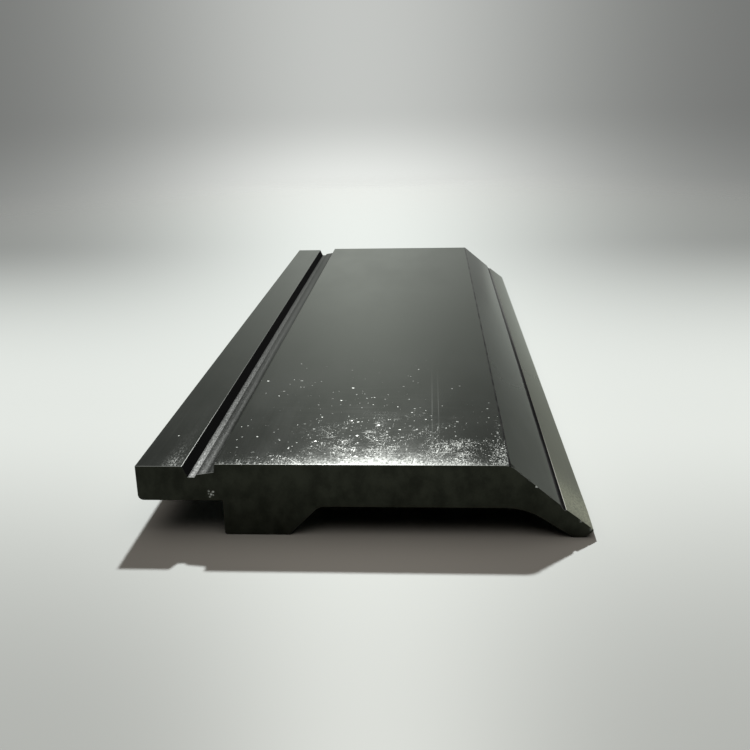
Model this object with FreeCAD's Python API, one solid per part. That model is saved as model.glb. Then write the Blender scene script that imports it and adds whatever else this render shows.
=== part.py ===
"""Gooseneck press brake punch: one bar of tool steel, lying on its relieved side.

The whole punch is one section drawn in the X-Z plane and carried straight along Y.
X runs across the tool, from the end of the tang (-X) to the bending tip (+X).
Z is up: the foot and the flat under the nose rest on z = 0, and the flat front face is on top.
"""
import FreeCAD, Part
import math
import os
from collections import namedtuple

# Driving dimensions, in millimetres and degrees.
LENGTH = 415.0                # of the bar, a standard tool length

TANG_LENGTH = 30.0            # from the end of the tang to the shoulder
TANG_THICKNESS = 13.0
TANG_CORNER_RADIUS = 2.0      # on the corner of the tang that enters the clamp last

LIP_WIDTH = 16.6              # flat of the tang from its end to the safety groove
GROOVE_DEPTH = 4.1            # of the safety groove, below the tang's face
GROOVE_WALL_RUN = 1.8         # how far the groove's hooked wall leans
GROOVE_FLOOR_WIDTH = 2.35
LEDGE_STEP_RUN = 0.7         # slope from the groove floor up to the ledge
LEDGE_STEP_HEIGHT = 1.0
LEDGE_WIDTH = 6.2
LEDGE_RISE = 0.95             # across the ledge, towards the body
FRONT_WALL_RUN = 0.4          # how far the wall from the ledge to the front face leans
FRONT_FACE_PROUD = 0.85        # of the front face above the tang's face

BODY_THICKNESS = 27.0         # from the front face to the faces it rests on
WEB_THICKNESS = 16.0          # left between the front face and the gooseneck relief
SHOULDER_TO_TIP = 129.0

FOOT_WIDTH = 22.9            # from the shoulder to the start of the relief
FOOT_CHAMFER = 0.6
RELIEF_ANGLE = 45.0           # of the slope from the foot up into the relief
RELIEF_RADIUS = 5.0

TIP_HEIGHT = 2.75              # of the bending line above the rest plane
TIP_HALF_ANGLE = 37.5         # each side of the bending line
TIP_RADIUS = 0.8
STRIP_RUN = 10.4              # ground strip on the front of the tip, measured along X
FRONT_SLOPE_ANGLE = 40.0      # of the slope from the strip up to the front face
STRIP_GROOVE_WIDTH = 2.8      # hollow where the slope meets the ground strip
STRIP_GROOVE_DEPTH = 0.7

NOSE_FLAT_WIDTH = 4.0         # flat under the nose, between its two corners
NOSE_RADIUS = 2.0
NECK_ANGLE = 33.0             # of the back of the nose, rising into the relief
NECK_RADIUS = 23.0

# A corner of the section, and the radius that rounds it.
Corner = namedtuple("Corner", "x z radius", defaults=(0.0,))
# Where the outline leaves its straight run at a corner, the crest of the arc there, and its end.
Turn = namedtuple("Turn", "start crest end")


def point(x, z):
    """A point of the section, on the near end of the bar."""
    return FreeCAD.Vector(x, -LENGTH / 2, z)


def turn_at(before, corner, after):
    here = point(corner.x, corner.z)
    if corner.radius == 0:
        return Turn(here, None, here)
    to_before = (point(before.x, before.z) - here).normalize()
    to_after = (point(after.x, after.z) - here).normalize()
    to_centre = (to_before + to_after).normalize()
    half_angle = to_before.getAngle(to_after) / 2
    reach = corner.radius / math.tan(half_angle)
    cut = corner.radius / math.sin(half_angle) - corner.radius
    return Turn(here + to_before * reach, here + to_centre * cut, here + to_after * reach)


def rounded_outline(corners):
    """A closed wire through the corners, each with a tangent arc of its own radius."""
    followers = corners[1:] + corners[:1]
    turns = [turn_at(corners[index - 1], corner, followers[index])
             for index, corner in enumerate(corners)]
    edges = []
    for index, turn in enumerate(turns):
        edges.append(Part.LineSegment(turns[index - 1].end, turn.start).toShape())
        if turn.crest:
            edges.append(Part.Arc(turn.start, turn.crest, turn.end).toShape())
    return Part.Wire(edges)


def extruded(wire):
    """The solid of a section carried along the whole bar."""
    return Part.Face(wire).extrude(FreeCAD.Vector(0, LENGTH, 0))


def rise(run, angle):
    return run * math.tan(math.radians(angle))


def run_of(height, angle):
    return height / math.tan(math.radians(angle))


# Levels and stations of the section. X starts at the end of the tang and is centred later.
TANG_FACE = BODY_THICKNESS - FRONT_FACE_PROUD
TANG_BACK = TANG_FACE - TANG_THICKNESS
RELIEF_LEVEL = BODY_THICKNESS - WEB_THICKNESS
TIP_X = TANG_LENGTH + SHOULDER_TO_TIP
# The two faces of the tip meet at this sharp corner, which the tip radius then takes off.
TIP_CORNER_X = TIP_X + TIP_RADIUS / math.sin(math.radians(TIP_HALF_ANGLE)) - TIP_RADIUS
STRIP_X = TIP_CORNER_X - STRIP_RUN
STRIP_Z = TIP_HEIGHT + rise(STRIP_RUN, TIP_HALF_ANGLE)


def bar_corners():
    """The corners of the section, from the tang's end round by the front face and the tip."""
    floor_x = LIP_WIDTH + GROOVE_WALL_RUN
    floor_z = TANG_FACE - GROOVE_DEPTH
    ledge_x = floor_x + GROOVE_FLOOR_WIDTH + LEDGE_STEP_RUN
    ledge_z = floor_z + LEDGE_STEP_HEIGHT
    wall_x = ledge_x + LEDGE_WIDTH
    slope_x = STRIP_X - run_of(BODY_THICKNESS - STRIP_Z, FRONT_SLOPE_ANGLE)
    nose_front_x = TIP_CORNER_X - run_of(TIP_HEIGHT, TIP_HALF_ANGLE)
    nose_back_x = nose_front_x - NOSE_FLAT_WIDTH
    neck_x = nose_back_x - run_of(RELIEF_LEVEL, NECK_ANGLE)
    foot_x = TANG_LENGTH + FOOT_WIDTH
    relief_x = foot_x + run_of(RELIEF_LEVEL, RELIEF_ANGLE)
    return [
        Corner(0, TANG_FACE),
        Corner(LIP_WIDTH, TANG_FACE),
        Corner(floor_x, floor_z),
        Corner(floor_x + GROOVE_FLOOR_WIDTH, floor_z),
        Corner(ledge_x, ledge_z),
        Corner(wall_x, ledge_z + LEDGE_RISE),
        Corner(wall_x + FRONT_WALL_RUN, BODY_THICKNESS),
        Corner(slope_x, BODY_THICKNESS),
        Corner(STRIP_X, STRIP_Z),
        Corner(TIP_CORNER_X, TIP_HEIGHT, TIP_RADIUS),
        Corner(nose_front_x, 0, NOSE_RADIUS),
        Corner(nose_back_x, 0, NOSE_RADIUS),
        Corner(neck_x, RELIEF_LEVEL, NECK_RADIUS),
        Corner(relief_x, RELIEF_LEVEL, RELIEF_RADIUS),
        Corner(foot_x, 0),
        Corner(TANG_LENGTH + FOOT_CHAMFER, 0),
        Corner(TANG_LENGTH, FOOT_CHAMFER),
        Corner(TANG_LENGTH, TANG_BACK),
        Corner(0, TANG_BACK, TANG_CORNER_RADIUS),
    ]


def strip_groove():
    """The hollow along the strip: an arc that deepens to a square wall at the strip's edge."""
    angle = math.radians(FRONT_SLOPE_ANGLE)
    up_slope = FreeCAD.Vector(-math.cos(angle), 0, math.sin(angle))
    outward = FreeCAD.Vector(math.sin(angle), 0, math.cos(angle))
    wall_top = point(STRIP_X, STRIP_Z)
    radius = (STRIP_GROOVE_WIDTH ** 2 + STRIP_GROOVE_DEPTH ** 2) / (2 * STRIP_GROOVE_DEPTH)
    centre = wall_top + outward * (radius - STRIP_GROOVE_DEPTH)
    half_turn = math.asin(STRIP_GROOVE_WIDTH / radius) / 2
    wall_foot = centre - outward * radius
    middle = centre + (up_slope * math.sin(half_turn) - outward * math.cos(half_turn)) * radius
    far_edge = wall_top + up_slope * STRIP_GROOVE_WIDTH
    hollow = Part.Arc(wall_foot, middle, far_edge).toShape()
    clear = outward * STRIP_GROOVE_DEPTH
    sides = Part.makePolygon([far_edge, far_edge + clear, wall_top + clear, wall_foot])
    return extruded(Part.Wire([hollow] + sides.Edges))


def punch():
    bar = extruded(rounded_outline(bar_corners()))
    solid = bar.cut(strip_groove()).Solids[0]
    solid.translate(FreeCAD.Vector(-TIP_X / 2, 0, 0))
    return solid


def main():
    os.makedirs("parts", exist_ok=True)
    solid = punch()
    solid.exportStep("parts/punch.step")
    box = solid.BoundBox
    print("punch", "valid" if solid.isValid() else "NOT VALID", "faces", len(solid.Faces),
          "volume", round(solid.Volume), "size", round(box.XLength, 3), round(box.YLength, 3),
          round(box.ZLength, 3), "low", round(box.ZMin, 4))


main()
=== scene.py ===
"""Looks of the gooseneck press brake punch: one ground and blackened bar of tool steel.

The bar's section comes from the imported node. It is carried along Y again on a dense mesh, with
broken edges, a worn tip, a knocked corner and nicks, and each machined face gets its own finish.
Everything is in metres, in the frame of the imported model: +Y is the length, +X points to the tip.
"""
import math
from collections import namedtuple

import bmesh
import bpy
import numpy as np
from mathutils import Matrix, Vector, noise
from mathutils.geometry import delaunay_2d_cdt


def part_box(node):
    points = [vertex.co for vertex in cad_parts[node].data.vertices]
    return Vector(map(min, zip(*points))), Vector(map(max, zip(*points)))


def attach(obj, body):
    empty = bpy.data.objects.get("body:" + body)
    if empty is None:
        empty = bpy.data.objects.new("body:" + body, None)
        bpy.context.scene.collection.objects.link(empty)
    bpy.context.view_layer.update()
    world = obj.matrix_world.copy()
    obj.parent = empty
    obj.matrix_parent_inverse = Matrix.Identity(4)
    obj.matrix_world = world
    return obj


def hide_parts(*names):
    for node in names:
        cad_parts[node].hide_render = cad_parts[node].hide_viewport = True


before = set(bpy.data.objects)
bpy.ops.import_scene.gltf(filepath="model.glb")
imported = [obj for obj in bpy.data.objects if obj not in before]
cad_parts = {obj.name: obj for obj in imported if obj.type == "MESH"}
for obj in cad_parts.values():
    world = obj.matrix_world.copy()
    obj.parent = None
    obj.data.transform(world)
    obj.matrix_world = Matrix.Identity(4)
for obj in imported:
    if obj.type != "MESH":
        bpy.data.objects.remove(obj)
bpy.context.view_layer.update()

MM = 0.001
NODE = "punch"
BODY = "root"
BARE_AND_HIGHLIGHT = "bare"                     # the mesh attribute that says how bare wear has left the steel, with the painted highlight of the end rims that look up
LOW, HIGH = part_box(NODE)          # corners of the bar, at rest

# ---------------------------------------------------------------- driving sizes

SHARP_TURN = math.radians(15)     # a corner of the section that turns more than this is an edge
EDGE_BREAK = 0.20 * MM            # radius of the stoned edges along the bar
EDGE_STEPS = 4
OUTLINE_STEP = 0.42 * MM          # most room between two points of the outline
END_BREAK = 0.13 * MM             # radius of the edges round the two end faces
END_RINGS = 4                     # rings on that radius
CAP_MARGIN = 0.12 * MM            # the end faces have a second row of points this far in from their edge
FIRST_RING_STEP = 0.15 * MM       # room between rings, just past the end break
RING_GROWTH = 1.19                # each ring is this much further than the one before
CAP_STEP = 1.1 * MM               # grid of the end faces
FAR_CAP_STEP = 4.0 * MM
DING_STEP = 0.22 * MM             # grid of the near end face round its ding
DING_ROOM = 1.8 * MM
GRID_CLEARANCE = 0.45             # least room between the outline and the grid, in grid steps
WELD = 1e-6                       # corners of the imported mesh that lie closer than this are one
SHADED_SHARP = math.radians(35)   # edges of the mesh that turn more than this are shaded sharp
STRIP_LOOKS_UP = 0.3              # where its normal's Z is less, the strip has the end faces' finish


# ---------------------------------------------------------------- the section

# The faces of the section between its sharp corners, in order from the end of the tang.
FACE_NAMES = ["tang_face", "groove_wall", "groove_floor", "ledge_step", "ledge", "front_wall",
              "front_face", "slope", "strip_groove", "strip_groove_wall", "ground_strip", "foot",
              "foot_chamfer", "shoulder", "tang_back"]
END_CAP = -2                      # the face number of the polygons across the ends


def section_outline(node):
    """The section's corners (x, z) in order, clockwise from the end of the tang, off the near end face."""
    bm = bmesh.new()
    bm.from_mesh(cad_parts[node].data)
    bmesh.ops.remove_doubles(bm, verts=bm.verts, dist=WELD)
    bm.normal_update()
    beside = {}
    for edge in bm.edges:
        on_end = [face.normal.y < -0.99 for face in edge.link_faces]
        if on_end.count(True) == 1:
            a, b = edge.verts
            beside.setdefault(a, []).append(b)
            beside.setdefault(b, []).append(a)
    start = min(beside, key=lambda vert: (round(vert.co.x, 6), -vert.co.z))
    second = max(beside[start], key=lambda vert: vert.co.x)
    loop = [start, second]
    while True:
        ahead = [vert for vert in beside[loop[-1]] if vert is not loop[-2]][0]
        if ahead is start:
            break
        loop.append(ahead)
    outline = [Vector((vert.co.x, vert.co.z)) for vert in loop]
    bm.free()
    return outline


def turn_at(before, here, after):
    """How far the outline turns at a corner, in radians. An outer corner turns to the right, below zero."""
    back, on = here - before, after - here
    return math.atan2(back.x * on.y - back.y * on.x, back.dot(on))


def broken_outline(outline):
    """The outline with each sharp outer corner rounded by the edge break.

    Returns its points, the number of the face that starts at each point, and for the points on a
    rounded corner the number of the face that ends there, or else -1. A face runs from one sharp
    corner to the next."""
    points, faces, corners = [], [], []
    face = -1
    for index, here in enumerate(outline):
        before, after = outline[index - 1], outline[(index + 1) % len(outline)]
        turn = turn_at(before, here, after)
        if abs(turn) < SHARP_TURN:
            points.append(here)
            faces.append(face)
            corners.append(-1)
            continue
        face += 1
        if turn > 0:
            points.append(here)
            faces.append(face)
            corners.append(-1)
            continue
        to_before, to_after = (before - here).normalized(), (after - here).normalized()
        half = (math.pi - abs(turn)) / 2
        centre = here + (to_before + to_after).normalized() * (EDGE_BREAK / math.sin(half))
        first = here + to_before * (EDGE_BREAK / math.tan(half)) - centre
        start = math.atan2(first.y, first.x)
        for step in range(EDGE_STEPS + 1):
            angle = start + turn * step / EDGE_STEPS
            points.append(centre + Vector((math.cos(angle), math.sin(angle))) * EDGE_BREAK)
            faces.append(face - 1 if step < EDGE_STEPS / 2 else face)
            corners.append(face - 1 if 0 < step < EDGE_STEPS else -1)
    return points, faces, corners


def spaced_outline(points, faces, corners):
    """The same outline with more points on its long runs."""
    dense, labels, rounded = [], [], []
    for index, here in enumerate(points):
        after = points[(index + 1) % len(points)]
        count = max(1, math.ceil((after - here).length / OUTLINE_STEP))
        for step in range(count):
            dense.append(here.lerp(after, step / count))
            labels.append(faces[index])
            rounded.append(-1 if step else corners[index])
    return np.array([point[:] for point in dense]), labels, rounded


def outward_normals(outline):
    """Unit normals of the outline's points, pointing out of the steel."""
    along = np.roll(outline, -1, 0) - np.roll(outline, 1, 0)
    normals = np.stack([-along[:, 1], along[:, 0]], 1)
    return normals / np.linalg.norm(normals, axis=1)[:, None]


# ---------------------------------------------------------------- the bar's mesh

def ring_places():
    """Where the rings sit along Y, and how much each is drawn in by the end break."""
    turns = [math.pi / 2 * step / END_RINGS for step in range(END_RINGS + 1)]
    depths = [END_BREAK * (1 - math.cos(turn)) for turn in turns]
    insets = [END_BREAK * (1 - math.sin(turn)) for turn in turns]
    step = FIRST_RING_STEP
    half_length = (HIGH.y - LOW.y) / 2
    while depths[-1] + step < half_length:
        depths.append(depths[-1] + step)
        insets.append(0.0)
        step *= RING_GROWTH
    near = [(LOW.y + depth, inset) for depth, inset in zip(depths, insets)]
    far = [(HIGH.y - depth, inset) for depth, inset in zip(depths, insets)]
    return near + far[::-1]


def grid(low, high, step):
    """Points of a triangular grid over a rectangle of (x, z)."""
    columns = np.arange(low[0], high[0], step)
    rows = enumerate(np.arange(low[1], high[1], step))
    return np.array([(x + step / 2 * (row % 2), z) for row, z in rows for x in columns])


def cap(outline, normals, step, ding=None):
    """Triangles across an end face: the outline first, then a row just inside it and a grid of points.

    The grid is finer round the ding."""
    count = len(outline)
    edges = [(index, (index + 1) % count) for index in range(count)]
    inner = grid(outline.min(0), outline.max(0), step)
    if ding is not None:
        inner = inner[np.abs(inner - ding).max(1) > DING_ROOM]
        inner = np.concatenate([inner, grid(ding - DING_ROOM, ding + DING_ROOM, DING_STEP)])
    gap = np.min(np.linalg.norm(inner[:, None] - outline[None], axis=2), axis=1)
    inner = np.concatenate([outline - normals * CAP_MARGIN, inner[gap > step * GRID_CLEARANCE]])
    places = [Vector(p) for p in outline] + [Vector(p) for p in inner]
    found = delaunay_2d_cdt(places, edges, [list(range(count))], 1, 1e-9)
    return np.array([v[:] for v in found[0]]), [tuple(face) for face in found[2]]


def bar_mesh(name):
    """The dense bar: rings along Y and two end caps.

    Returns the object, the number of each polygon's face, and how far each point's edge is rubbed bare, with
    a painted highlight on the end rims that look up."""
    outline, labels, rounded = spaced_outline(*broken_outline(section_outline(NODE)))
    normals = outward_normals(outline)
    count = len(outline)
    rings = ring_places()
    rows = [np.stack([ring[:, 0], np.full(count, y), ring[:, 1]], 1)
            for y, inset in rings for ring in [outline - normals * inset]]
    coords = np.concatenate(rows)
    faces, face_labels = [], []
    for row in range(len(rings) - 1):
        for index in range(count):
            after = (index + 1) % count
            a, b = row * count + index, row * count + after
            faces.append((a, b, b + count, a + count))
            face_labels.append(labels[index])
    for row, step, ding in ((0, CAP_STEP, DING_PLACE), (len(rings) - 1, FAR_CAP_STEP, None)):
        first = row * count
        edge = coords[first:first + count][:, [0, 2]]
        places, triangles = cap(edge, normals, step, ding)
        start = len(coords)
        inner = places[count:]
        y = rings[row][0]
        coords = np.concatenate([coords, np.stack([inner[:, 0], np.full(len(inner), y), inner[:, 1]], 1)])
        for triangle in triangles:
            ids = [first + v if v < count else start + v - count for v in triangle]
            faces.append(tuple(ids if row else ids[::-1]))
            face_labels.append(END_CAP)
    mesh = bpy.data.meshes.new(name)
    mesh.from_pydata(coords.tolist(), [], faces)
    piece = bpy.data.objects.new(name, mesh)
    bpy.context.scene.collection.objects.link(piece)
    edge_rub = [LONG_RUB.get(FACE_NAMES[face], (0, 0)) if face >= 0 else (0, 0) for face in rounded]
    near_rub, far_rub = np.array(edge_rub, float).T
    rub_and_highlight = np.zeros(len(coords))
    for row, (y, inset) in enumerate(rings):
        ring = slice(row * count, (row + 1) * count)
        rub_and_highlight[ring] = near_rub + (far_rub - near_rub) * min(1.0, (y - LOW.y) / RUB_FADE)
        if 0 < inset < END_BREAK:
            # painted highlight: only the end rims that look up are lightened
            rub_and_highlight[ring] = np.maximum(rub_and_highlight[ring], END_RUB_AND_HIGHLIGHT * np.clip(normals[:, 1], 0, 1) ** 2)
    return piece, face_labels, rub_and_highlight


# ---------------------------------------------------------------- wear

# A dent presses the steel in: its middle, how far it reaches, its depth, the way it is pushed,
# and how bare it leaves the steel, from 0 to 1.
Dent = namedtuple("Dent", "middle reach depth push bare")

DING_PLACE = np.array([-53.3 * MM, 15.9 * MM])    # (x, z) on the near end face
END_RUB_AND_HIGHLIGHT = 0.55                    # the end faces' edges rubbed bare, with a painted highlight: only the rims that look up are lightened
# The same for the edges along the bar, by the face that ends there, at the near end and from
# RUB_FADE on.
LONG_RUB = {"tang_face": (0.60, 0.28), "strip_groove_wall": (0.95, 0.15), "front_wall": (0.06, 0.06)}
RUB_FADE = 75 * MM
TIP_WEAR_LENGTH = 14 * MM         # how far along the bar the tip is worn from the near end
TIP_WEAR = 0.06                   # share of the way to the core that the tip is worn back, at the end
TIP_CORE = Vector((HIGH.x - 5.0 * MM, 0, LOW.z + 3.2 * MM))
TIP_REACH = 4.5 * MM              # from the core to where the tip is worn in full
DENT_RAGGED = 0.35                # how ragged a dent's outline is, as a share of its reach
DENT_FEATURES = 1400              # of that raggedness, to the metre
DENT_LIMIT = 1.6                  # a point further off than this many reaches is never moved


def near_dents():
    """The knocks on the near end: the ding in the end face, chips on the edges, the blunted corner."""
    near = LOW.y
    inward = Vector((0, 1, 0))
    into_slope = Vector((-0.55, 0.45, -0.7)).normalized()
    ding = Vector((DING_PLACE[0], near, DING_PLACE[1]))
    return [
        Dent(ding + Vector((-0.8 * MM, 0, 0.9 * MM)), 0.50 * MM, 0.25 * MM, inward, 0.5),
        Dent(ding + Vector((0.7 * MM, 0, 0.7 * MM)), 0.48 * MM, 0.22 * MM, inward, 0.9),
        Dent(ding + Vector((0.0, 0, -0.3 * MM)), 0.55 * MM, 0.30 * MM, inward, 0.8),
        Dent(ding + Vector((-0.5 * MM, 0, -1.2 * MM)), 0.40 * MM, 0.15 * MM, inward, 0.6),
        Dent(ding + Vector((0.7 * MM, 0, -0.6 * MM)), 0.38 * MM, 0.15 * MM, inward, 0.7),
        Dent(ding + Vector((-0.9 * MM, 0, -0.1 * MM)), 0.33 * MM, 0.12 * MM, inward, 0.4),
        Dent(Vector((59.2 * MM, near, 19.3 * MM)), 0.55 * MM, 0.35 * MM, into_slope, 1.0),
        Dent(Vector((53.8 * MM, near, 23.9 * MM)), 0.5 * MM, 0.18 * MM, into_slope, 0.0),
        Dent(Vector((56.6 * MM, near, 21.6 * MM)), 0.6 * MM, 0.2 * MM, into_slope, 0.0),
        Dent(Vector((64.0 * MM, near, 15.3 * MM)), 0.5 * MM, 0.15 * MM, into_slope, 0.0),
        Dent(Vector((50.2 * MM, near, 27.0 * MM)), 2.0 * MM, 0.30 * MM, into_slope, 0.0),
        Dent(Vector((75.0 * MM, near, 6.6 * MM)), 0.6 * MM, 0.25 * MM, into_slope, 0.35),
        Dent(Vector((78.6 * MM, near, 3.6 * MM)), 0.5 * MM, 0.2 * MM, into_slope, 0.4),
    ]


def worn(coords):
    """Moves the points where the bar is worn or knocked. Returns how bare the steel is at each point."""
    bare = np.zeros(len(coords))
    depth_in = coords[:, 1] - LOW.y
    share = np.clip(1 - depth_in / TIP_WEAR_LENGTH, 0, 1)
    core = np.array(TIP_CORE)[[0, 2]]
    past = np.clip((coords[:, 0] - core[0]) / TIP_REACH, 0, 1)
    pull = TIP_WEAR * share * past
    coords[:, [0, 2]] += (core - coords[:, [0, 2]]) * pull[:, None]
    for dent in near_dents():
        distance = np.linalg.norm(coords - np.array(dent.middle), axis=1) / dent.reach
        for index in np.flatnonzero(distance < DENT_LIMIT):
            ragged = distance[index] + noise.noise(Vector(coords[index]) * DENT_FEATURES) * DENT_RAGGED
            fall = (1 - ragged ** 2) ** 1.5 if abs(ragged) < 1 else 0.0
            coords[index] += np.array(dent.push) * dent.depth * fall
            bare[index] = max(bare[index], dent.bare * min(1, 2 * fall))
    return bare


# ---------------------------------------------------------------- materials

SPOT_FEATURES = 1300.0            # of the raggedness of nicks, to the metre
NICK_DEPTH = 0.006 * MM
# Grey levels across the bar: at places along X, from the tang to the tip.
# The groove wall's near-black is painted shade: it stands for the dark surroundings that the wall reflects.
GROOVE_STOPS = [(LOW.x, 0.002), (HIGH.x, 0.002)]
# The strip groove darkens from the slope's side towards its bottom.
HOLLOW_STOPS = [(67.3 * MM, 0.12), (68.0 * MM, 0.05), (68.7 * MM, 0.012), (69.7 * MM, 0.001)]
# The ledge's darkest stops, next to the body wall, are painted shade in that corner.
LEDGE_STOPS = [(-61.0 * MM, 0.10), (-60.0 * MM, 0.20), (-58.6 * MM, 0.17), (-57.4 * MM, 0.09),
               (-55.3 * MM, 0.22), (-53.9 * MM, 0.034), (-52.6 * MM, 0.07), (-51.9 * MM, 0.005)]

class Nodes:
    """Short calls that add nodes to the tree of a material or world."""

    def __init__(self, owner):
        owner.use_nodes = True
        self.owner = owner
        self.tree = owner.node_tree
        self.tree.nodes.clear()
        self.coordinates = self.add("TexCoord")

    def add(self, kind, inputs=None, **settings):
        node = self.tree.nodes.new("ShaderNode" + kind)
        for key, value in settings.items():
            setattr(node, key, value)
        for key, value in (inputs or {}).items():
            if isinstance(value, bpy.types.NodeSocket):
                self.tree.links.new(value, node.inputs[key])
            else:
                node.inputs[key].default_value = value
        return node

    def axes(self, output="Object"):
        """The coordinates' X, Y and Z. Object coordinates are the bar's own, in metres."""
        return self.add("SeparateXYZ", {0: self.coordinates.outputs[output]}).outputs

    def noise(self, scale, detail=2.0, rough=0.5, turn=0.0, shift=0.0):
        """Noise with so many features to the metre along X, Y and Z, turned about Z."""
        place = self.coordinates.outputs["Object"]
        if turn:
            place = self.add("VectorRotate", {"Vector": place, "Angle": turn},
                             rotation_type="Z_AXIS").outputs[0]
        place = self.add("Mapping", {"Vector": place, "Location": (shift,) * 3, "Scale": scale}).outputs[0]
        inputs = {"Vector": place, "Scale": 1.0, "Detail": detail, "Roughness": rough}
        return self.add("TexNoise", inputs).outputs[0]

    def spots(self, scale, ragged):
        """A spot in each of so many cells to the metre, its outline ragged by so many metres.

        Returns the distance from the spot's middle, in cells, and three random numbers of its own."""
        place = self.coordinates.outputs["Object"]
        inputs = {"Vector": place, "Scale": SPOT_FEATURES, "Detail": 2.0}
        shift = self.add("TexNoise", inputs).outputs["Color"]
        shift = self.add("VectorMath", {0: shift, 1: (0.5, 0.5, 0.5)}, operation="SUBTRACT").outputs[0]
        place = self.add("VectorMath", {0: shift, 1: (ragged, ragged, 0.0), 2: place},
                         operation="MULTIPLY_ADD").outputs[0]
        cells = self.add("TexVoronoi", {"Vector": place, "Scale": float(scale), "Randomness": 1.0})
        own = self.add("SeparateColor", {0: cells.outputs["Color"]}).outputs
        return cells.outputs["Distance"], own[0], own[1], own[2]

    def between(self, value, low, high, to_low=0.0, to_high=1.0, smooth=True):
        """The value carried from one range to another, and held at its ends."""
        kind = "SMOOTHSTEP" if smooth else "LINEAR"
        inputs = {0: value, 1: low, 2: high, 3: to_low, 4: to_high}
        return self.add("MapRange", inputs, interpolation_type=kind).outputs[0]

    def math(self, operation, a, b=0.0, c=0.0):
        return self.add("Math", {0: a, 1: b, 2: c}, operation=operation).outputs[0]

    def times(self, first, *others):
        for other in others:
            first = self.math("MULTIPLY", first, other)
        return first

    def most(self, first, *others):
        for other in others:
            first = self.math("MAXIMUM", first, other)
        return first

    def bell(self, value, middle, width):
        """1 where the value is at the middle, falling off to 0 past about twice the width."""
        off = self.math("DIVIDE", self.math("SUBTRACT", value, middle), width)
        return self.math("EXPONENT", self.times(off, off, -1.0))

    def decay(self, value, length):
        """1 where the value is 0, and less by a factor of e for each such length."""
        return self.math("EXPONENT", self.math("DIVIDE", value, -length))

    def depth(self):
        """How far a point lies behind the near end face, in metres."""
        return self.math("SUBTRACT", self.axes()["Y"], NEAR)

    def bare(self):
        """How bare wear has left the steel, with the painted highlight of the end rims that look up, from
        the mesh.
        """
        return self.add("Attribute", attribute_name=BARE_AND_HIGHLIGHT).outputs["Fac"]

    def bump(self, height):
        """The normals of a surface with such heights, in metres."""
        return self.add("Bump", {"Height": height, "Distance": 1.0, "Strength": 1.0}).outputs[0]

    def finished(self, shader):
        """The material, with this shader on its surface."""
        self.add("OutputMaterial", {"Surface": shader.outputs[0]})
        return self.owner

    def tinted(self, level, red, blue):
        """A level as a colour, with such shares of red and blue."""
        parts = {0: self.times(level, red), 1: level, 2: self.times(level, blue)}
        return self.add("CombineColor", parts).outputs[0]

    def mix(self, share, a, b):
        return self.add("Mix", {0: share, 6: a, 7: b}, data_type="RGBA").outputs[2]

    def mix_value(self, share, a, b):
        return self.add("Mix", {0: share, 2: a, 3: b}, data_type="FLOAT").outputs[0]

    def bands(self, value, low, high, stops):
        """Grey levels at places between low and high, blended from each to the next."""
        ramp = self.add("ValToRGB", {0: self.between(value, low, high, smooth=False)})
        elements = ramp.color_ramp.elements
        while len(elements) < len(stops):
            elements.new(0.5)
        for element, (place, level) in zip(elements, stops):
            element.position = (place - low) / (high - low)
            element.color = (level, level, level, 1.0)
        return ramp.outputs[0]


def grey(level, red=0.97, blue=0.95):
    return (level * red, level, level * blue, 1.0)


BARE_STEEL = grey(0.56)
NEAR = LOW.y
BAR_MIDDLE = (LOW.x + HIGH.x) / 2


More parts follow.
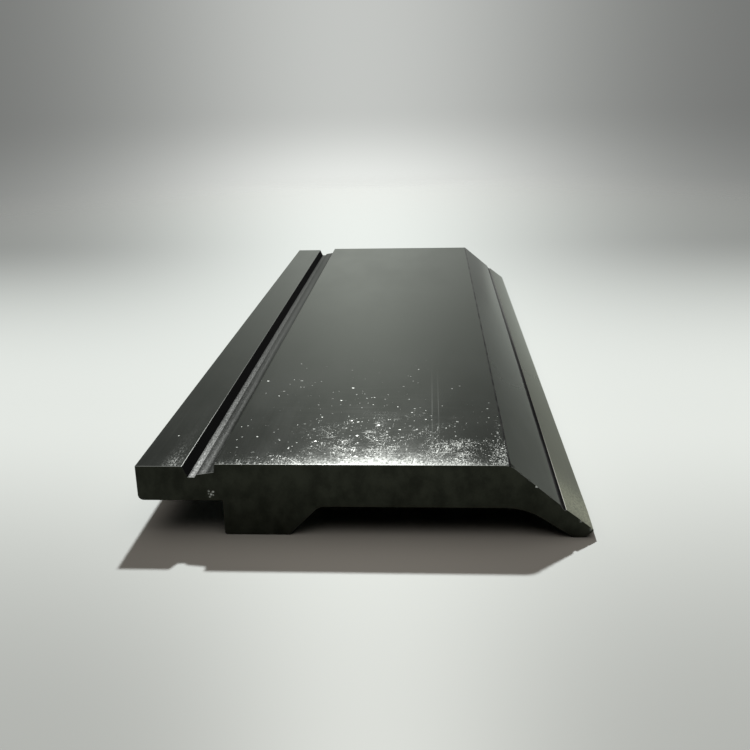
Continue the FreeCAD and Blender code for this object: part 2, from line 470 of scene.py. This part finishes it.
def front_marks_and_edge_highlight(kit):
    """Bare marks of the flat front face: grain, nicks and scratches, crowded behind its near edge, and a
    band of pale grain along that edge, a painted highlight.
    """
    x = kit.axes()["X"]
    depth = kit.depth()
    groups = kit.between(kit.noise((110, 60, 110), 2.0), 0.35, 0.62)
    right = kit.times(kit.bell(x, 38 * MM, 27 * MM), kit.between(depth, 14 * MM, 34 * MM, 1.45, 0.0))
    left = kit.times(kit.bell(x, -28 * MM, 20 * MM), kit.between(depth, 4 * MM, 17 * MM, 0.95, 0.0))
    crowd = kit.most(kit.bell(x, 5 * MM, 37 * MM), right)
    crowd = kit.most(kit.times(crowd, kit.between(depth, 10 * MM, 88 * MM, 1.0, 0.0)), left)
    at_edge = kit.times(kit.bell(x, 48.2 * MM, 1.5 * MM), kit.between(depth, 15 * MM, 75 * MM, 1.0, 0.0))
    in_groups = kit.most(kit.times(crowd, kit.math("MULTIPLY_ADD", groups, 0.80, 0.38)), at_edge)

    grain = kit.math("ADD", kit.noise((2100, 950, 2100), 3.0, 0.8), kit.times(in_groups, 0.10))
    grain = kit.times(kit.between(grain, 0.625, 0.79), kit.between(in_groups, 0.05, 0.9), 0.50)
    # painted highlight: pale grain within a few mm of the near edge
    edge = kit.times(kit.between(kit.noise((1900, 900, 1900), 3.0, 0.75), 0.42, 0.70), 0.42,
                     kit.decay(depth, 3.5 * MM))

    further = kit.times(kit.bell(x, -4 * MM, 36 * MM), kit.between(depth, 60 * MM, 135 * MM, 0.30, 0.0))
    wanted = kit.most(in_groups, further)
    nicks = []
    for cells, share, widest in ((300, 0.36, 0.30), (520, 0.50, 0.34), (900, 0.60, 0.40)):
        distance, chance, width, shine = kit.spots(cells, 2.4 * MM * 300 / cells)
        radius = kit.between(kit.times(width, width), 0.0, 1.0, widest * 0.25, widest, smooth=False)
        inside = kit.between(kit.math("SUBTRACT", distance, radius), -0.10, 0.0, 1.0, 0.0)
        chosen = kit.math("LESS_THAN", chance, kit.times(wanted, share))
        nicks.append(kit.times(inside, chosen, kit.between(shine, 0.0, 1.0, 0.15, 1.0)))

    strokes = []
    for turn, seed, level in ((8, 0.0, 0.36), (-38, 3.0, 0.26), (55, 7.0, 0.26), (84, 11.0, 0.30)):
        stroke = kit.noise((1500, 120, 1500), 1.0, turn=math.radians(turn), shift=seed)
        strokes.append(kit.times(kit.between(stroke, 0.69, 0.76), kit.between(in_groups, 0.15, 0.9), level))

    distance, chance, width, shine = kit.spots(150, 1.5 * MM)
    stray = kit.between(kit.math("SUBTRACT", distance, kit.times(width, 0.12)), -0.05, 0.0, 1.0, 0.0)
    stray = kit.times(stray, kit.math("LESS_THAN", chance, kit.between(depth, 45 * MM, 140 * MM, 0.32, 0.0)),
                      kit.between(shine, 0.0, 1.0, 0.2, 0.9), kit.bell(x, 4 * MM, 50 * MM))

    brushed = kit.between(kit.noise((1900, 80, 1900), 1.0, turn=math.radians(-2)), 0.62, 0.78)
    brushed = kit.times(brushed, kit.between(depth, 0.0, 18 * MM, 1.0, 0.0), 0.28,
                        kit.between(x, -5 * MM, -25 * MM))

    scored = kit.most(kit.bell(x, 23.8 * MM, 0.17 * MM), kit.bell(x, 26.3 * MM, 0.13 * MM))
    scored = kit.times(scored, kit.between(kit.noise((25, 45, 25), 2.0), 0.3, 0.6, 0.05, 0.15),
                       kit.between(depth, 5 * MM, 12 * MM), kit.between(depth, 60 * MM, 130 * MM, 1.0, 0.0))

    crosswise = kit.between(kit.noise((45, 700, 45), 2.0), 0.52, 0.70)
    crosswise = kit.times(crosswise, kit.bell(x, 2 * MM, 34 * MM), kit.bell(depth, 50 * MM, 32 * MM), 0.05)
    return kit.most(grain, edge, *nicks, *strokes, stray, brushed, scored, crosswise)


def front_painted_highlight(kit):
    """A painted highlight on the front face behind its near edge, in patches."""
    x = kit.axes()["X"]
    depth = kit.depth()
    patches = kit.between(kit.noise((1500, 620, 1500), 4.0, 0.75), 0.34, 0.66, 0.35, 1.25)
    return kit.times(kit.decay(depth, 9.5 * MM), kit.bell(x, 6 * MM, 29 * MM), patches)


def corner_dark_line(kit):
    """The dark line along the corner of the front face and the slope."""
    x = kit.axes()["X"]
    patchy = kit.between(kit.noise((300, 90, 300), 3.0), 0.35, 0.6, 0.55, 1.0)
    return kit.times(kit.between(kit.bell(x, 50.0 * MM, 0.42 * MM), 0.35, 0.6), patchy)


def tang_marks(kit):
    """Bare marks of the tang: grain, a rubbed patch at the near end of its inner edge, and a few nicks."""
    x = kit.axes()["X"]
    depth = kit.depth()
    grain = kit.between(kit.noise((2100, 950, 2100), 3.0, 0.8), 0.56, 0.84)
    grain = kit.times(grain, kit.decay(depth, 24 * MM), 0.30)
    brushed = kit.between(kit.noise((3000, 650, 3000), 3.0, 0.75), 0.36, 0.76)
    patch = kit.times(brushed, kit.bell(x, -66.6 * MM, 3.8 * MM), 0.55,
                      kit.decay(depth, 19 * MM))
    distance, chance, width, shine = kit.spots(420, 0.8 * MM)
    nicks = kit.between(kit.math("SUBTRACT", distance, kit.times(width, 0.25)), -0.06, 0.0, 1.0, 0.0)
    nicks = kit.times(nicks, kit.math("LESS_THAN", chance, kit.between(depth, 0.0, 60 * MM, 0.12, 0.0)),
                      kit.times(shine, 0.7))
    return kit.most(patch, grain, nicks)


def strip_marks(kit):
    """Bare brushing of the ground strip, mottled towards the near end."""
    depth = kit.depth()
    mottle = kit.noise((1400, 650, 1400), 4.0, 0.7, turn=math.radians(25))
    mottle = kit.between(mottle, 0.34, 0.66, 0.35, 1.0)
    near = kit.times(kit.bell(depth, 10 * MM, 17 * MM), 0.9)
    return kit.times(mottle, kit.math("ADD", near, 0.04))


def slope_marks_and_painted_light(kit):
    """The slope's paler line beside the strip groove, a painted highlight where it curves into the groove;
    its paler top further along, a painted reflection; and faint scuffs.
    """
    x, y, _ = kit.axes()
    # painted highlight beside the strip groove, and painted reflection on the slope's far part
    line = kit.times(kit.bell(x, 66.6 * MM, 0.8 * MM), 0.04)
    far = kit.times(kit.bell(x, 50 * MM, 11 * MM), kit.between(y, NEAR + 40 * MM, NEAR + 170 * MM), 0.035)
    line = kit.math("ADD", line, far)
    scuffs = kit.between(kit.noise((130, 60, 130), 3.0, 0.6, turn=math.radians(20)), 0.62, 0.78)
    return kit.math("MULTIPLY_ADD", scuffs, 0.012, line)


def steel(name, dark, light, rough, lines=0.25, marks_and_painted_light=None, painted_highlight=None, dark_line=None, blotches=(34, 14, 34),
          grain_depth=0.0006 * MM, far_rough=None, bare_colour=BARE_STEEL):
    """Ground steel: lines along the bar, soft blotches, and bare metal where it is rubbed or marked; on the
    front face and the slope, some of that pale metal is painted highlight and reflection.

    Its roughness may change from the near end to the far end."""
    kit = Nodes(bpy.data.materials.new(name))
    line = kit.noise((1600, 8, 1600), 3.0, 0.6)
    blotch = kit.noise(blotches, 4.0, 0.6)
    fine = kit.noise((2600, 2600, 2600), 2.0, 0.6)
    colour = kit.mix(kit.between(kit.mix_value(lines, blotch, line), 0.3, 0.7), dark, light)
    roughness = kit.between(kit.mix_value(lines, blotch, line), 0.3, 0.7, rough - 0.03, rough + 0.03)
    if far_rough:
        along = kit.between(kit.axes()["Y"], NEAR, NEAR + 300 * MM, 1.0, far_rough / rough)
        roughness = kit.math("MULTIPLY", roughness, along)
    # painted highlight: towards the front face's near edge the colour is lifted to pale grey and the
    # roughness raised
    if painted_highlight:
        highlight_share = painted_highlight(kit)
        colour = kit.mix(highlight_share, colour, grey(0.25))
        roughness = kit.mix_value(highlight_share, roughness, 0.45)
    bare = kit.bare()
    height = kit.times(kit.math("MULTIPLY_ADD", line, lines * 4, fine), grain_depth)
    # marks turn the steel pale; on the front face and the slope they also carry painted highlights and
    # reflections
    if marks_and_painted_light:
        marked_and_painted = marks_and_painted_light(kit)
        bare = kit.most(bare, marked_and_painted)
        height = kit.math("MULTIPLY_ADD", marked_and_painted, -NICK_DEPTH, height)
    colour = kit.mix(bare, colour, bare_colour)
    roughness = kit.mix_value(kit.between(bare, 0.0, 0.4), roughness, 0.42)
    metallic = 1.0
    # a near-black, unmetallic line along the corner of the front face and the slope
    if dark_line:
        darkness = dark_line(kit)
        colour = kit.mix(darkness, colour, grey(0.012))
        metallic = kit.math("SUBTRACT", 1.0, darkness)
    shader = kit.add("BsdfPrincipled", {"Base Color": colour, "Roughness": roughness, "Metallic": metallic,
                                        "Specular IOR Level": 0.02, "Specular Tint": grey(0.92),
                                        "Normal": kit.bump(height)})
    return kit.finished(shader)


def ledge_steel(name):
    """The bright bottom of the safety groove: a scraped floor, and a ledge in paler and darker streaks,
    darkest at the body wall as painted shade in that corner.
    """
    kit = Nodes(bpy.data.materials.new(name))
    x = kit.axes()["X"]
    depth = kit.depth()
    waver = kit.times(kit.math("SUBTRACT", kit.noise((300, 22, 300), 2.0), 0.5), 0.9 * MM)
    base = kit.bands(kit.math("ADD", x, waver), -62 * MM, -51 * MM, LEDGE_STOPS)
    streaks = kit.between(kit.noise((1500, 11, 1500), 3.0, 0.65), 0.25, 0.75, 0.7, 1.25)
    grain = kit.between(kit.noise((2300, 900, 2300), 3.0, 0.7), 0.3, 0.7, 0.78, 1.24)
    level = kit.times(base, streaks, grain, kit.between(depth, 0.0, 60 * MM, 1.1, 0.6))
    level = kit.mix_value(kit.between(depth, 60 * MM, 220 * MM, 0.0, 0.5), level, 0.085)
    colour = kit.tinted(level, 0.98, 0.97)
    bare = kit.bare()
    colour = kit.mix(bare, colour, BARE_STEEL)
    height = kit.times(kit.math("ADD", streaks, grain), 0.0012 * MM)
    roughness = kit.between(grain, 0.78, 1.24, 0.30, 0.42)
    shader = kit.add("BsdfPrincipled", {"Base Color": colour, "Roughness": roughness, "Metallic": 1.0,
                                        "Specular Tint": grey(0.65), "Normal": kit.bump(height)})
    return kit.finished(shader)


def dark_hollow_steel(name, stops, rough, far=0.0):
    """Near-black steel in a hollow, which hardly shines, darker or paler across the bar.

    It may turn paler towards the far end."""
    kit = Nodes(bpy.data.materials.new(name))
    blotch = kit.noise((120, 30, 120), 3.0)
    colour = kit.bands(kit.axes()["X"], stops[0][0], stops[-1][0], stops)
    colour = kit.mix(kit.between(blotch, 0.35, 0.65, 0.0, 0.5), colour, grey(0.001))
    if far:
        colour = kit.mix(kit.between(kit.axes()["Y"], NEAR + 110 * MM, NEAR + 320 * MM, 0.0, far), colour,
                         grey(0.14))
    colour = kit.mix(kit.bare(), colour, BARE_STEEL)
    roughness = kit.between(blotch, 0.35, 0.65, rough - 0.05, rough + 0.05)
    height = kit.times(kit.noise((1800, 400, 1800), 2.0), 0.002 * MM)
    shader = kit.add("BsdfPrincipled", {"Base Color": colour, "Roughness": roughness,
                                        "Specular IOR Level": 0.03, "Normal": kit.bump(height)})
    return kit.finished(shader)


def finishes():
    """The material of each finish, by name."""
    return {
        "plain": steel("blackened_steel", grey(0.042), grey(0.065), 0.24, 0.4),
        "front": steel("blackened_front_steel", grey(0.050), grey(0.064), 0.18, 0.12, front_marks_and_edge_highlight,
                       front_painted_highlight, corner_dark_line),
        "tang": steel("blackened_tang_steel", grey(0.044), grey(0.062), 0.20, 0.3, tang_marks),
        "slope": steel("blackened_slope_steel", grey(0.036, blue=0.9), grey(0.050, blue=0.9), 0.36, 0.12,
                       slope_marks_and_painted_light, dark_line=corner_dark_line, grain_depth=0.0003 * MM, far_rough=0.08),
        "ledge": ledge_steel("scraped_ledge_steel"),
        "strip": steel("ground_strip_steel", grey(0.14, 1.0, 0.82), grey(0.21, 1.0, 0.82), 0.40, 0.3,
                       strip_marks, far_rough=0.14, bare_colour=grey(0.54, 1.0, 0.78)),
        "groove": dark_hollow_steel("shaded_groove_steel", GROOVE_STOPS, 0.8),
        "hollow": dark_hollow_steel("dark_strip_groove_steel", HOLLOW_STOPS, 0.8, far=0.5),
        "end": steel("cut_end_steel", grey(0.019, 0.93, 0.76), grey(0.040, 0.93, 0.76), 0.5, 0.1,
                     blotches=(150, 150, 110)),
    }


FINISH_OF = {"tang_face": "tang", "groove_wall": "groove", "groove_floor": "ledge", "ledge_step": "ledge",
             "ledge": "ledge", "front_face": "front", "slope": "slope", "strip_groove": "hollow",
             "strip_groove_wall": "hollow", "ground_strip": "strip"}


def finish_bar():
    """The whole bar, worn and painted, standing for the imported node."""
    piece, labels, rub_and_highlight = bar_mesh("press_brake_punch")
    mesh = piece.data
    coords = np.array([v.co for v in mesh.vertices])
    bare = worn(coords)
    mesh.vertices.foreach_set("co", coords.ravel())
    attribute = mesh.attributes.new(BARE_AND_HIGHLIGHT, "FLOAT", "POINT")
    attribute.data.foreach_set("value", np.maximum(bare, rub_and_highlight).astype(np.float32))
    made = finishes()
    order = list(made)
    for key in order:
        mesh.materials.append(made[key])
    mesh.update()
    for polygon, label in zip(mesh.polygons, labels):
        if label == END_CAP:
            key = "end"
        else:
            key = FINISH_OF.get(FACE_NAMES[label], "plain")
            if key == "strip" and polygon.normal.z < STRIP_LOOKS_UP:
                key = "end"
        polygon.material_index = order.index(key)
    mesh.shade_smooth()
    mesh.set_sharp_from_angle(angle=SHADED_SHARP)
    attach(piece, BODY)
    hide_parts(NODE)


# ---------------------------------------------------------------- camera, light and floor

CAMERA_AHEAD = 279.8 * MM         # in front of the near end face
CAMERA_RIGHT = 23.1 * MM          # of the middle of the bar
CAMERA_HEIGHT = 151.4 * MM        # above the floor
CAMERA_PITCH = math.radians(18.182)
CAMERA_YAW = math.radians(3.721)
CAMERA_ROLL = math.radians(-1.261)
CAMERA_LENS = 42.95               # on a 36 mm sensor

LAMP_PLACE = Vector((-63.5 * MM, 290 * MM, 556 * MM))
LAMP_RADIUS = 17.5 * MM
LAMP_POWER = 28.0
LAMP_ON_FLOOR = 2.28              # the lamp's light on the floor at its foot

FILL = 0.50                       # even warm light from overhead
FILL_ON_FLOOR = 0.164             # and what of it reaches the floor
GLOW_TURN = -0.078                # where the setting glows, as a slope off the bar's length
GLOW_WIDTH = 0.237                # and how wide, as such a slope
ROOM_LEVEL = 0.5                  # the room beside and behind the camera, and its ceiling
HOT_WIDTH, HOT_LEVEL = 0.085, 0.30    # a brighter patch in the glow, above the camera's view
FLOOR_SOLID, FLOOR_GONE = 0.50, 1.1   # the floor fades into the backdrop between these distances
FILL_COLOUR = (1.13, 0.985, 0.89, 1)
BACKDROP_COLOUR = (0.975, 1.0, 0.965, 1)


def camera():
    """A camera at the photograph's viewing angle."""
    ahead = Vector((-math.sin(CAMERA_YAW) * math.cos(CAMERA_PITCH),
                    math.cos(CAMERA_YAW) * math.cos(CAMERA_PITCH), -math.sin(CAMERA_PITCH)))
    level = Vector((math.cos(CAMERA_YAW), math.sin(CAMERA_YAW), 0))
    upright = level.cross(ahead)
    right = math.cos(CAMERA_ROLL) * level + math.sin(CAMERA_ROLL) * upright
    up = math.cos(CAMERA_ROLL) * upright - math.sin(CAMERA_ROLL) * level
    data = bpy.data.cameras.new("camera")
    data.lens = CAMERA_LENS
    data.clip_start = 0.01
    piece = bpy.data.objects.new("camera", data)
    turn = Matrix((right, up, -ahead)).transposed().to_4x4()
    place = Vector((BAR_MIDDLE + CAMERA_RIGHT, LOW.y - CAMERA_AHEAD, LOW.z + CAMERA_HEIGHT))
    piece.matrix_world = Matrix.Translation(place) @ turn
    bpy.context.scene.collection.objects.link(piece)
    bpy.context.scene.camera = piece


def lamp():
    """One small lamp above the far end, which throws the shadow towards the camera."""
    data = bpy.data.lights.new("lamp", "POINT")
    data.energy = LAMP_POWER
    data.shadow_soft_size = LAMP_RADIUS
    piece = bpy.data.objects.new("lamp", data)
    piece.location = LAMP_PLACE
    bpy.context.scene.collection.objects.link(piece)


def floor():
    """A pale floor that fades into the backdrop.

    Its colour is graded so that the near lamp lights it evenly, with a paler fan ahead of the main camera's
    place and sides that darken further off: a painted glow of light. The grading is fixed on the floor."""
    kit = Nodes(bpy.data.materials.new("floor"))
    x, y, _ = kit.axes()
    place = kit.coordinates.outputs["Object"]
    from_foot = kit.add("VectorMath", {0: place, 1: (LAMP_PLACE.x, LAMP_PLACE.y, LOW.z)},
                        operation="DISTANCE").outputs["Value"]
    spread = kit.math("DIVIDE", from_foot, LAMP_PLACE.z)
    falloff = kit.math("POWER", kit.math("MULTIPLY_ADD", spread, spread, 1.0), -1.5)
    light = kit.math("MULTIPLY_ADD", falloff, LAMP_ON_FLOOR, FILL_ON_FLOOR)
    ahead = kit.math("ADD", y, CAMERA_AHEAD - NEAR)
    in_view = kit.between(ahead, 30 * MM, 165 * MM)
    ahead = kit.math("MAXIMUM", ahead, 80 * MM)
    # painted light: a paler fan of glow ahead of the main camera's place, and darker sides further off
    glow = kit.bell(kit.math("DIVIDE", kit.math("SUBTRACT", x, CAMERA_RIGHT), ahead), GLOW_TURN, GLOW_WIDTH)
    glow = kit.mix_value(in_view, 0.35, glow)
    depth = kit.depth()
    middle = kit.between(depth, -110 * MM, 60 * MM, 0.70, 0.86)
    side = kit.between(depth, -120 * MM, 110 * MM, 0.44, 0.78)
    side = kit.times(side, kit.between(depth, 150 * MM, 620 * MM, 1.0, 0.36))
    colour = kit.math("MINIMUM", kit.math("DIVIDE", kit.mix_value(glow, side, middle), light), 0.9)
    shader = kit.add("BsdfDiffuse", {"Color": kit.tinted(colour, 0.945, 0.965)})
    gone = kit.add("BsdfTransparent")
    from_middle = kit.add("VectorMath", {0: place}, operation="LENGTH").outputs["Value"]
    both = kit.add("MixShader", {0: kit.between(from_middle, FLOOR_SOLID, FLOOR_GONE),
                                 1: shader.outputs[0], 2: gone.outputs[0]})
    kit.add("OutputMaterial", {"Surface": both.outputs[0]})
    half = FLOOR_GONE * 1.05
    corners = [(-half, -half), (half, -half), (half, half), (-half, half)]
    mesh = bpy.data.meshes.new("floor")
    mesh.from_pydata([(x, y, LOW.z) for x, y in corners], [], [(0, 1, 2, 3)])
    mesh.materials.append(kit.owner)
    piece = bpy.data.objects.new("floor", mesh)
    bpy.context.scene.collection.objects.link(piece)


def rise(degrees):
    """The Z of a direction so many degrees above the horizon."""
    return math.sin(math.radians(degrees))


def backdrop():
    """A pale backdrop: a soft glow behind the bar, dimmer high up and to the sides.

    A plain room stands beside and behind the main camera's place, and a warm fill comes from overhead."""
    made = bpy.data.worlds.new("backdrop")
    bpy.context.scene.world = made
    kit = Nodes(made)
    x, y, z = kit.axes("Generated")
    glow = kit.bell(kit.math("ARCTAN2", x, y), GLOW_TURN, GLOW_WIDTH)
    middle = kit.between(z, rise(-6.5), rise(-1.5), 0.84, 0.56)
    middle = kit.times(middle, kit.between(z, rise(12), rise(30), 1.0, 0.2))
    side = kit.between(z, rise(-10), rise(-1.5), 0.28, 0.165)
    side = kit.math("ADD", side, kit.between(z, rise(-17), rise(-10), 0.42, 0.0))
    side = kit.math("ADD", side, kit.between(z, rise(5), rise(18), 0.0, 0.04))
    hot = kit.times(kit.bell(kit.math("ARCTAN2", x, y), GLOW_TURN, HOT_WIDTH), HOT_LEVEL,
                    kit.between(z, rise(5), rise(12)), kit.between(z, rise(20), rise(32), 1.0, 0.0))
    level = kit.math("ADD", kit.mix_value(glow, side, middle), hot)
    off = kit.math("ABSOLUTE", kit.math("ARCTAN2", x, y))
    room = kit.times(kit.between(off, 0.56, 1.0), kit.between(z, rise(-12), rise(12), 0.7, 1.0), ROOM_LEVEL)
    above = kit.times(kit.between(z, rise(45), rise(75)), ROOM_LEVEL)
    level = kit.most(level, room, above)
    seen = kit.add("LightPath")
    shown = kit.most(seen.outputs["Is Camera Ray"], seen.outputs["Is Glossy Ray"],
                     seen.outputs["Is Transmission Ray"])
    overhead = kit.between(z, 0.6, 0.95, 0.0, FILL)
    strength = kit.mix_value(shown, overhead, level)
    colour = kit.mix(shown, FILL_COLOUR, BACKDROP_COLOUR)
    background = kit.add("Background", {"Color": colour, "Strength": strength})
    kit.add("OutputWorld", {"Surface": background.outputs[0]})


finish_bar()
camera()
lamp()
floor()
backdrop()
bpy.context.scene.view_settings.view_transform = "Standard"
